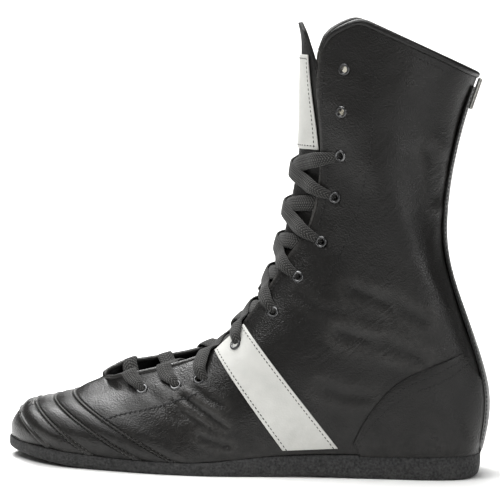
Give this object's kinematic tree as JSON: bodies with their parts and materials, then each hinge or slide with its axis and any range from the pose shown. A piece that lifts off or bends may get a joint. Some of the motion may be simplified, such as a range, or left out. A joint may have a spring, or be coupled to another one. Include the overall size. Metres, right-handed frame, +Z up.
{
  "type": "boxing shoe",
  "caption": "High lace-up boxing shoe for the left foot: hollow black leather upper on a thin rubber sole, white side bands, flat laces through eyelets.",
  "frame": {"origin": "on the floor, at the middle of the forefoot's flat spot under the outsole", "axes": "+Z up, toe towards -X, heel towards +X, outer side of the foot towards -Y"},
  "size_m": [0.2916, 0.0967, 0.2741],
  "materials": {
    "black_leather": "semi-matte",
    "white_leather": "semi-matte",
    "rubber": "matte",
    "lining": "matte",
    "lace_cloth": "woven",
    "eyelet_metal": "black"
  },
  "bodies": {
    "root": {"upper": "black_leather", "outsole": "rubber", "insole": "lining", "tongue": "black_leather", "tongue_patch": "white_leather", "collar_binding": "black_leather", "backstay": "black_leather", "pull_tab": "white_leather", "heel_counter_lateral": "black_leather", "heel_counter_medial": "black_leather", "side_band_lateral": "white_leather", "side_band_medial": "white_leather", "eyelet_lateral_01": "eyelet_metal", "eyelet_lateral_02": "eyelet_metal", "eyelet_lateral_03": "eyelet_metal", "eyelet_lateral_04": "eyelet_metal", "eyelet_lateral_05": "eyelet_metal", "eyelet_lateral_06": "eyelet_metal", "eyelet_lateral_07": "eyelet_metal", "eyelet_lateral_08": "eyelet_metal", "eyelet_lateral_09": "eyelet_metal", "eyelet_lateral_10": "eyelet_metal", "eyelet_lateral_11": "eyelet_metal", "eyelet_medial_01": "eyelet_metal", "eyelet_medial_02": "eyelet_metal", "eyelet_medial_03": "eyelet_metal", "eyelet_medial_04": "eyelet_metal", "eyelet_medial_05": "eyelet_metal", "eyelet_medial_06": "eyelet_metal", "eyelet_medial_07": "eyelet_metal", "eyelet_medial_08": "eyelet_metal", "eyelet_medial_09": "eyelet_metal", "eyelet_medial_10": "eyelet_metal", "eyelet_medial_11": "eyelet_metal", "lace_bar_01": "lace_cloth", "lace_crossing_02": "lace_cloth", "lace_crossing_03": "lace_cloth", "lace_crossing_04": "lace_cloth", "lace_crossing_05": "lace_cloth", "lace_crossing_06": "lace_cloth", "lace_crossing_07": "lace_cloth", "lace_crossing_08": "lace_cloth"}
  },
  "joints": []
}
